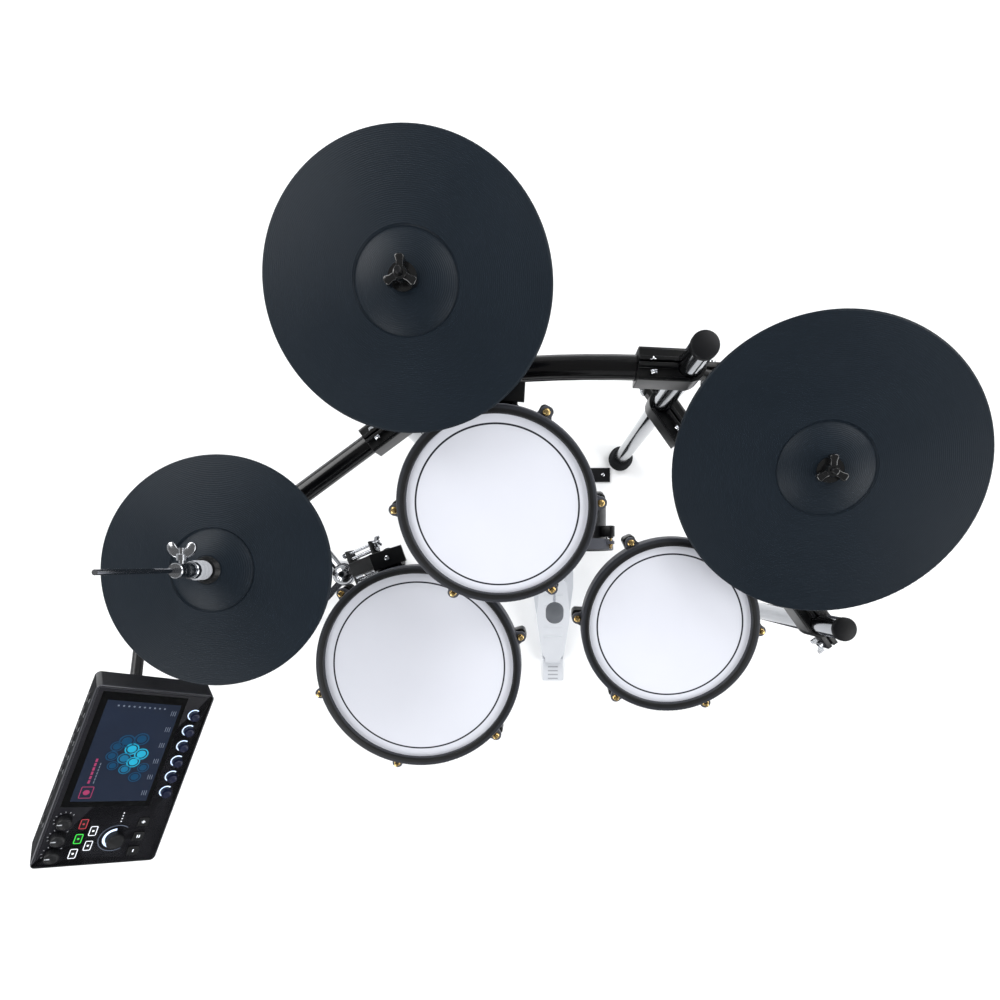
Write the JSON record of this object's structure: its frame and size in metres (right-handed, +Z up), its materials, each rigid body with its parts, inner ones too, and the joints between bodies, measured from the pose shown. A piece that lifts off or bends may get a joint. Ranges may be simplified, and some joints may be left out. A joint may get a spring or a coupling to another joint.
{
  "type": "electronic drum kit",
  "caption": "Electronic drum kit: mesh drum pads and rubber cymbal pads on a tube rack, with a floor hi-hat stand, kick tower and pedal, and a tilting sound module with screen and controls.",
  "frame": {"origin": "on the floor under the kick pad's base plate, on the kick pad's centre line", "axes": "+X to the drummer's right, +Y away from the drummer, +Z up"},
  "size_m": [1.3217, 0.9541, 1.063],
  "materials": {
    "chrome": "polished chrome tube",
    "bar_black": "gloss black enamel",
    "clamp_black": "satin black moulding",
    "arm_black": "black powder coat",
    "bolt_steel": "bright plated steel",
    "end_rubber": "black rubber",
    "hoop_rubber": "dark grey moulded rubber",
    "mesh_white": "white woven mesh",
    "shell_black": "black moulded shell",
    "lug_black": "black lug with brass rod head",
    "foam_grey": "dense foam",
    "pad_rubber": "slate rubber with fine grooves",
    "felt_white": "felt and plated steel",
    "tower_black": "black powder coat",
    "pedal_pale": "pale cast aluminium",
    "case_black": "charcoal moulding",
    "screen_glass": "dark display glass",
    "knob_black": "black knob",
    "key_black": "black key"
  },
  "bodies": {
    "rack": {"rack_posts": "chrome", "post_ends": "end_rubber", "rack_bars": "bar_black", "rack_clamps": "clamp_black", "clamp_bolts": "bolt_steel", "support_arms": "arm_black", "cymbal_arms": "chrome", "cymbal_nuts": "clamp_black", "hihat_stand": "chrome", "hihat_legs": "chrome", "kick_tower": "tower_black", "kick_shell": "shell_black", "kick_hoop": "hoop_rubber", "kick_head": "mesh_white", "kick_lugs": "lug_black", "pedal_frame": "pedal_pale"},
    "snare": {"snare_shell": "shell_black", "snare_hoop": "hoop_rubber", "snare_head": "mesh_white", "snare_lugs": "lug_black", "snare_trigger": "foam_grey"},
    "rack_tom": {"rack_tom_shell": "shell_black", "rack_tom_hoop": "hoop_rubber", "rack_tom_head": "mesh_white", "rack_tom_lugs": "lug_black", "rack_tom_trigger": "foam_grey"},
    "floor_tom": {"floor_tom_shell": "shell_black", "floor_tom_hoop": "hoop_rubber", "floor_tom_head": "mesh_white", "floor_tom_lugs": "lug_black", "floor_tom_trigger": "foam_grey"},
    "crash": {"crash_pad": "pad_rubber"},
    "ride": {"ride_pad": "pad_rubber"},
    "hihat": {"hihat_pad": "pad_rubber", "hihat_rod": "bolt_steel", "hihat_clutch": "felt_white"},
    "hihat_pedal": {"hihat_footboard": "arm_black"},
    "kick_pedal": {"pedal_footboard": "pedal_pale"},
    "beater": {"pedal_beater": "pedal_pale"},
    "module": {"module_case": "case_black", "module_panel": "case_black", "module_screen": "screen_glass"},
    "main_dial": {"main_dial": "knob_black"},
    "encoder_1": {"encoder_1": "knob_black"},
    "encoder_2": {"encoder_2": "knob_black"},
    "encoder_3": {"encoder_3": "knob_black"},
    "encoder_4": {"encoder_4": "knob_black"},
    "encoder_5": {"encoder_5": "knob_black"},
    "encoder_6": {"encoder_6": "knob_black"},
    "level_knob_1": {"level_knob_1": "knob_black"},
    "level_knob_2": {"level_knob_2": "knob_black"},
    "level_knob_3": {"level_knob_3": "knob_black"},
    "menu_key_1": {"menu_key_1": "key_black"},
    "menu_key_2": {"menu_key_2": "key_black"},
    "menu_key_3": {"menu_key_3": "key_black"},
    "transport_key_1": {"transport_key_1": "key_black"},
    "transport_key_2": {"transport_key_2": "key_black"},
    "transport_key_3": {"transport_key_3": "key_black"},
    "transport_key_4": {"transport_key_4": "key_black"},
    "transport_key_5": {"transport_key_5": "key_black"}
  },
  "joints": [
    {"name": "snare_tilt", "type": "hinge", "parent": "rack", "child": "snare", "pos_m": [-0.27857, -0.01077, 0.65759], "axis": [-0.9511, -0.307, -0.035], "range_deg": [-5, 5]},
    {"name": "rack_tom_tilt", "type": "hinge", "parent": "rack", "child": "rack_tom", "pos_m": [-0.08258, 0.22141, 0.80656], "axis": [-0.9976, 0.0667, 0.0204], "range_deg": [-3, 8]},
    {"name": "floor_tom_tilt", "type": "hinge", "parent": "rack", "child": "floor_tom", "pos_m": [0.29334, -0.03204, 0.67804], "axis": [-0.4384, 0.8851, 0.1561], "range_deg": [-5, 3]},
    {"name": "crash_rock", "type": "hinge", "parent": "rack", "child": "crash", "pos_m": [-0.193, 0.33811, 0.93327], "axis": [1, 0, 0], "range_deg": [-5, 5], "stiffness_Nm_per_rad": 10},
    {"name": "ride_rock", "type": "hinge", "parent": "rack", "child": "ride", "pos_m": [0.35252, 0.12486, 0.85269], "axis": [0.766, -0.6428, 0], "range_deg": [-4, 4], "stiffness_Nm_per_rad": 10},
    {"name": "hihat_press", "type": "hinge", "parent": "rack", "child": "hihat_pedal", "pos_m": [-0.458, -0.294, 0.024], "axis": [-1, 0, 0], "range_deg": [0, 4], "stiffness_Nm_per_rad": 60, "springref_deg": -3.44},
    {"name": "hihat_slide", "type": "slide", "parent": "rack", "child": "hihat", "axis": [0, 0, -1], "range_m": [0, 0.02002]},
    {"name": "kick_press", "type": "hinge", "parent": "rack", "child": "kick_pedal", "pos_m": [0, -0.274, 0.024], "axis": [-1, 0, 0], "range_deg": [0, 12], "stiffness_Nm_per_rad": 12, "springref_deg": -8.59},
    {"name": "beater_swing", "type": "hinge", "parent": "rack", "child": "beater", "pos_m": [0, 0, 0.13], "axis": [-1, 0, 0], "range_deg": [0, 48.05]},
    {"name": "module_tilt", "type": "hinge", "parent": "rack", "child": "module", "pos_m": [-0.62915, -0.22026, 0.77728], "axis": [0.3502, 0.9367, 0], "range_deg": [-10, 10]},
    {"name": "main_dial_turn", "type": "hinge", "parent": "module", "child": "main_dial", "pos_m": [-0.63026, -0.38692, 0.81206], "axis": [0.6194, -0.2316, 0.7501], "continuous": true},
    {"name": "encoder_1_turn", "type": "hinge", "parent": "module", "child": "encoder_1", "pos_m": [-0.57694, -0.33212, 0.78495], "axis": [0.6194, -0.2316, 0.7501], "continuous": true},
    {"name": "encoder_2_turn", "type": "hinge", "parent": "module", "child": "encoder_2", "pos_m": [-0.56868, -0.31002, 0.78495], "axis": [0.6194, -0.2316, 0.7501], "continuous": true},
    {"name": "encoder_3_turn", "type": "hinge", "parent": "module", "child": "encoder_3", "pos_m": [-0.56041, -0.28791, 0.78495], "axis": [0.6194, -0.2316, 0.7501], "continuous": true},
    {"name": "encoder_4_turn", "type": "hinge", "parent": "module", "child": "encoder_4", "pos_m": [-0.55215, -0.26581, 0.78495], "axis": [0.6194, -0.2316, 0.7501], "continuous": true},
    {"name": "encoder_5_turn", "type": "hinge", "parent": "module", "child": "encoder_5", "pos_m": [-0.54388, -0.2437, 0.78495], "axis": [0.6194, -0.2316, 0.7501], "continuous": true},
    {"name": "encoder_6_turn", "type": "hinge", "parent": "module", "child": "encoder_6", "pos_m": [-0.53562, -0.2216, 0.78495], "axis": [0.6194, -0.2316, 0.7501], "continuous": true},
    {"name": "level_knob_1_turn", "type": "hinge", "parent": "module", "child": "level_knob_1", "pos_m": [-0.68188, -0.38684, 0.85472], "axis": [0.6194, -0.2316, 0.7501], "range_deg": [-140, 140]},
    {"name": "level_knob_2_turn", "type": "hinge", "parent": "module", "child": "level_knob_2", "pos_m": [-0.67348, -0.36436, 0.85472], "axis": [0.6194, -0.2316, 0.7501], "range_deg": [-140, 140]},
    {"name": "level_knob_3_turn", "type": "hinge", "parent": "module", "child": "level_knob_3", "pos_m": [-0.66507, -0.34188, 0.85472], "axis": [0.6194, -0.2316, 0.7501], "range_deg": [-140, 140]},
    {"name": "menu_key_1_press", "type": "slide", "parent": "module", "child": "menu_key_1", "axis": [-0.6194, 0.2316, -0.7501], "range_m": [0, 0.001], "stiffness_N_per_m": 400, "springref_m": -0.0005},
    {"name": "menu_key_2_press", "type": "slide", "parent": "module", "child": "menu_key_2", "axis": [-0.6194, 0.2316, -0.7501], "range_m": [0, 0.001], "stiffness_N_per_m": 400, "springref_m": -0.0005},
    {"name": "menu_key_3_press", "type": "slide", "parent": "module", "child": "menu_key_3", "axis": [-0.6194, 0.2316, -0.7501], "range_m": [0, 0.001], "stiffness_N_per_m": 400, "springref_m": -0.0005},
    {"name": "transport_key_1_press", "type": "slide", "parent": "module", "child": "transport_key_1", "axis": [-0.6194, 0.2316, -0.7501], "range_m": [0, 0.001], "stiffness_N_per_m": 400, "springref_m": -0.0005},
    {"name": "transport_key_2_press", "type": "slide", "parent": "module", "child": "transport_key_2", "axis": [-0.6194, 0.2316, -0.7501], "range_m": [0, 0.001], "stiffness_N_per_m": 400, "springref_m": -0.0005},
    {"name": "transport_key_3_press", "type": "slide", "parent": "module", "child": "transport_key_3", "axis": [-0.6194, 0.2316, -0.7501], "range_m": [0, 0.001], "stiffness_N_per_m": 400, "springref_m": -0.0005},
    {"name": "transport_key_4_press", "type": "slide", "parent": "module", "child": "transport_key_4", "axis": [-0.6194, 0.2316, -0.7501], "range_m": [0, 0.001], "stiffness_N_per_m": 400, "springref_m": -0.0005},
    {"name": "transport_key_5_press", "type": "slide", "parent": "module", "child": "transport_key_5", "axis": [-0.6194, 0.2316, -0.7501], "range_m": [0, 0.001], "stiffness_N_per_m": 400, "springref_m": -0.0005}
  ],
  "couplings": [
    {"joint": "hihat_slide", "follows": "hihat_press", "m_per_rad": 0.28648},
    {"joint": "beater_swing", "follows": "kick_press", "ratio": 4}
  ]
}
